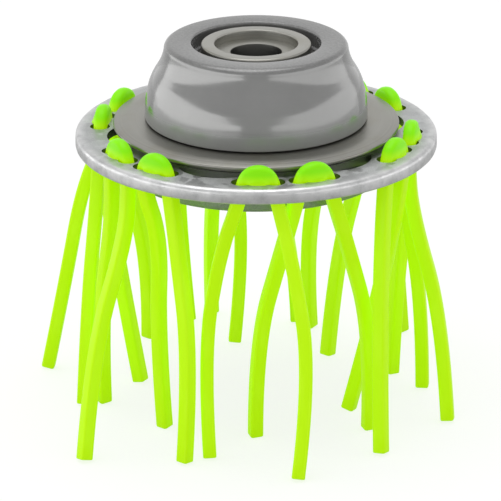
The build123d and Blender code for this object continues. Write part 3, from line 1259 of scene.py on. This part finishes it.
    def round_tip(self, piece: Piece) -> None:
        """Breaks the sharp edge of a strand's cut end.

        Args:
            piece: The leg whose lowest face is its tip.
        """
        make_active(piece)
        bpy.ops.object.mode_set(mode="EDIT")
        bpy.ops.mesh.select_mode(type="FACE")
        mesh = bmesh.from_edit_mesh(piece.data)
        ends = [face for face in mesh.faces if len(face.verts) > 4]
        tip = min(ends, key=lambda face: face.calc_center_median().z)
        for face in mesh.faces:
            face.select_set(face == tip)
        bmesh.update_edit_mesh(piece.data)
        bpy.ops.mesh.bevel(offset=self.tip_round * MM, segments=2, affect="EDGES")
        bpy.ops.object.mode_set(mode="OBJECT")

    def build(self, wardrobe: Wardrobe) -> list[Piece]:
        """Args:
            wardrobe: Where the finish comes from.

        Returns:
            The loop and the two legs.
        """
        points = self.centre_line()
        frames = self.frames(points)
        seat_height = self.seat_height * MM + TINY
        raised = [index for index, point in enumerate(points) if point.z >= seat_height]
        first, last = raised[0], raised[-1]
        spans = {"loop": (first - 1, last + 2), "leg_a": (0, first), "leg_b": (last + 1, len(points))}
        pieces = []
        for label, (start, stop) in spans.items():
            looped = label == "loop"
            path = points[start:stop]
            piece = self.tube(f"{self.node}_{label}", path, frames[start:stop], looped)
            wardrobe.dress(piece, Look.LINE_NYLON)
            if not looped:
                self.round_tip(piece)
                if label == "leg_a":
                    path = path[::-1]
            seat(piece, Body.HEAD, Look.LINE_NYLON, self.node)
            pieces.append(piece)
        return pieces


# sideways drift of each leg from its hole at the knee, the shin and the tip, in mm, two legs to a line
LINE_LEGS: list[list[list[Drift]]] = [
    [[(-5.0, 1.0), (-9.0, 1.5), (-7.5, -2.5)], [(4.0, -5.0), (8.5, -10.5), (5.5, -15.0)]],
    [[(-3.5, 4.0), (-10.0, 7.0), (-10.0, 9.5)], [(4.0, 5.5), (10.5, 9.5), (10.0, 11.0)]],
    [[(-1.0, -4.5), (-1.5, -11.0), (-1.0, -15.5)], [(-1.5, 1.0), (-6.0, 3.0), (-12.0, 4.5)]],
    [[(1.0, 0.0), (8.5, -4.5), (10.0, -8.0)], [(-2.0, 2.0), (3.0, 4.0), (3.5, 5.5)]],
    [[(3.5, 0.0), (0.5, -2.5), (-0.5, -3.5)], [(3.0, 3.5), (5.0, 12.0), (7.0, 18.5)]],
    [[(0.0, 1.0), (-6.5, -1.0), (-8.5, -2.5)], [(-3.0, 2.5), (-8.0, 7.5), (-6.5, 12.0)]],
    [[(-4.0, 2.0), (6.0, 6.5), (7.0, 10.0)], [(-1.5, -1.0), (1.5, -3.0), (-1.0, -4.5)]],
    [[(0.5, 3.0), (-2.0, 11.0), (-1.5, 17.5)], [(-2.5, 2.5), (-2.0, 10.0), (0.0, 15.0)]],
    [[(-3.0, 2.5), (4.0, 9.5), (3.5, 15.0)], [(-2.5, -1.5), (1.5, -5.5), (6.0, -8.0)]],
    [[(-6.0, -0.5), (-10.5, 4.0), (-15.5, 7.0)], [(-0.9, -3.5), (-3.3, -7.0), (-4.5, -9.0)]],
    [[(0.0, 2.0), (-3.5, 6.5), (-3.0, 10.0)], [(-0.5, -3.5), (-8.5, -11.5), (-10.5, -19.0)]],
    [[(4.0, 0.0), (3.0, 3.0), (4.5, 5.5)], [(2.0, -3.0), (5.0, -9.5), (3.5, -11.0)]],
]


@dataclass
class InnerPieces:
    """Pieces closed in under the cup, which keep their CAD shape and get a finish."""

    looks: dict[str, Look] = field(default_factory=lambda: {
        "bearing_inner_ring": Look.BEARING_STEEL,
        "bearing_outer_ring": Look.BEARING_STEEL,
        "bearing_balls": Look.BEARING_STEEL,
        "bearing_cage": Look.CAGE_STEEL,
        "bearing_seal_lower": Look.SEAL_RUBBER,
        "bearing_seal_upper": Look.SEAL_RUBBER,
        "bearing_circlip": Look.SPRING_STEEL,
        "spacer_sleeve": Look.HUB_STEEL,
    })

    def dress(self, wardrobe: Wardrobe) -> None:
        """Puts each inner piece's finish on it.

        Args:
            wardrobe: Where the finishes come from.
        """
        for node, look in self.looks.items():
            wardrobe.dress(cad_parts[node], look)
            LOG.info("%s keeps its CAD shape", node)


# studio


@dataclass(frozen=True)
class SoftBox:
    """A rectangular lamp: where it hangs, what it looks at, its size and how bright its face is."""

    name: str
    place: tuple[float, float, float]
    aim: tuple[float, float, float]
    size: Span
    radiance: float


@dataclass
class Studio:
    """White sweep, soft boxes and the photograph's camera."""

    field_of_view: float = 7.0
    elevation: float = 20.938
    distance: float = 0.997
    target: tuple[float, float, float] = (-0.0013535, 0.0, -0.0313365)
    clip: Span = (0.01, 50.0)
    room_level: float = 0.68
    fill_level: float = 0.46
    backdrop: Span = (0.7, 0.92)
    floor_size: float = 1.3
    floor_colour: Colour = (0.3, 0.3, 0.3)
    floor_roughness: float = 0.08
    floor_ior: float = 2.5
    floor_specular: float = 0.5
    floor_glow: float = 0.77
    floor_shine: float = 0.12
    boxes: tuple[SoftBox, ...] = (
        SoftBox("left_wall", (-0.7, -1.0, 0.09), (0.0, -1.0, 0.09), (3.2, 0.32), 1.2),
        SoftBox("right_wall", (0.7, -1.0, 0.09), (0.0, -1.0, 0.09), (3.2, 0.32), 0.75),
        SoftBox("top_box", (-0.1, 0.1, 1.25), (0.0, 0.0, 0.0), (1.2, 1.0), 1.7),
    )

    def camera(self) -> None:
        """Sets up the camera where the photograph was taken from."""
        data = bpy.data.cameras.new("photo_camera")
        data.sensor_fit = "HORIZONTAL"
        data.angle = math.radians(self.field_of_view)
        data.clip_start, data.clip_end = self.clip
        tilt = math.radians(self.elevation)
        holder = bpy.data.objects.new("photo_camera", data)
        x, y, z = self.target
        holder.location = (x, y - self.distance * math.cos(tilt), z + self.distance * math.sin(tilt))
        holder.rotation_euler = (math.pi / 2 - tilt, 0.0, 0.0)
        bpy.context.collection.objects.link(holder)
        bpy.context.scene.camera = holder

    def soft_box(self, box: SoftBox) -> None:
        """Adds a soft box that stays out of the picture.

        Args:
            box: The lamp to add.
        """
        data = bpy.data.lights.new(box.name, "AREA")
        data.shape = "RECTANGLE"
        data.size, data.size_y = box.size
        data.energy = box.radiance * math.pi * box.size[0] * box.size[1]
        lamp = bpy.data.objects.new(box.name, data)
        lamp.location = box.place
        lamp.rotation_euler = (Vector(box.aim) - Vector(box.place)).to_track_quat("-Z", "Y").to_euler()
        lamp.visible_camera = False
        bpy.context.collection.objects.link(lamp)

    @staticmethod
    def _rays(graph: Graph) -> tuple[Socket, Socket]:
        """Tells the rays apart that meet the world or the floor.

        Args:
            graph: The world's or the floor's graph.

        Returns:
            1 for rays from the camera, and 1 for rays from gloss or glass.
        """
        path = graph.add("ShaderNodeLightPath")
        shine = graph.math("MAXIMUM", path.outputs["Is Glossy Ray"], path.outputs["Is Transmission Ray"])
        return path.outputs["Is Camera Ray"], shine

    def world(self) -> None:
        """Makes the surroundings white behind the object and dim in front of it, with a soft fill."""
        world = bpy.data.worlds.new("white_surroundings")
        world.use_nodes = True
        bpy.context.scene.world = world
        graph = Graph(world.node_tree)
        seen, shine = self._rays(graph)
        behind = graph.spread(graph.axis("Generated", "Y"), self.backdrop, (self.room_level, 1.0))
        gloss = graph.math("MULTIPLY", shine, behind)
        fill = graph.math("MULTIPLY", graph.math("SUBTRACT", 1.0, shine), self.fill_level)
        level = graph.math("MAXIMUM", graph.math("ADD", gloss, fill), seen)
        graph.feed(world.node_tree.nodes["Background"], Color=WHITE, Strength=level)

    def floor(self, height: float) -> None:
        """Lays the pale floor that shows white and keeps a faint shadow.

        Args:
            height: The floor's height in metres.
        """
        deselect_all()
        bpy.ops.mesh.primitive_plane_add(size=self.floor_size, location=(0.0, 0.0, height))
        floor = bpy.context.object
        floor.name = "floor"
        material = bpy.data.materials.new("pale_floor")
        material.use_nodes = True
        graph = Graph(material.node_tree)
        seen, shine = self._rays(graph)
        unseen = graph.math("SUBTRACT", 1.0, seen)
        dim = graph.math("MULTIPLY", shine, self.floor_shine)
        plain = graph.math("MULTIPLY", seen, self.floor_glow)
        graph.feed(
            material.node_tree.nodes["Principled BSDF"],
            Base_Color=(*self.floor_colour, 1.0),
            Roughness=self.floor_roughness,
            IOR=self.floor_ior,
            Specular_IOR_Level=graph.math("MULTIPLY", unseen, self.floor_specular),
            Emission_Color=WHITE,
            Emission_Strength=graph.math("MAXIMUM", plain, dim),
        )
        floor.data.materials.append(material)

    def build(self, floor_height: float) -> None:
        """Sets up the whole studio.

        Args:
            floor_height: Where the line tips stand, in metres.
        """
        bpy.context.scene.view_settings.view_transform = "Standard"
        self.camera()
        self.world()
        self.floor(floor_height)
        for box in self.boxes:
            self.soft_box(box)
        LOG.info("studio set up, floor at %.4f m", floor_height)


def main() -> None:
    """Builds every sub-assembly, then the studio."""
    logging.basicConfig(level=logging.INFO, format="%(name)s: %(message)s")
    wardrobe = Wardrobe()
    plate = LinePlate()
    for number, (middle, drifts) in enumerate(zip(plate.loop_angles(), LINE_LEGS), start=1):
        first, second = plate.hole_angles(middle)
        holes = (ring_spot(plate.hole_ring, first), ring_spot(plate.hole_ring, second))
        CuttingLine(number, holes, drifts).build(wardrobe)
    for piece in (HubBush(), GlideCup(), CoverDisc(), SpacerWasher(), plate, LowerDrum()):
        piece.build(wardrobe)
    InnerPieces().dress(wardrobe)
    Studio().build(CAD_BOX[0][2])


if __name__ == "__main__":
    main()
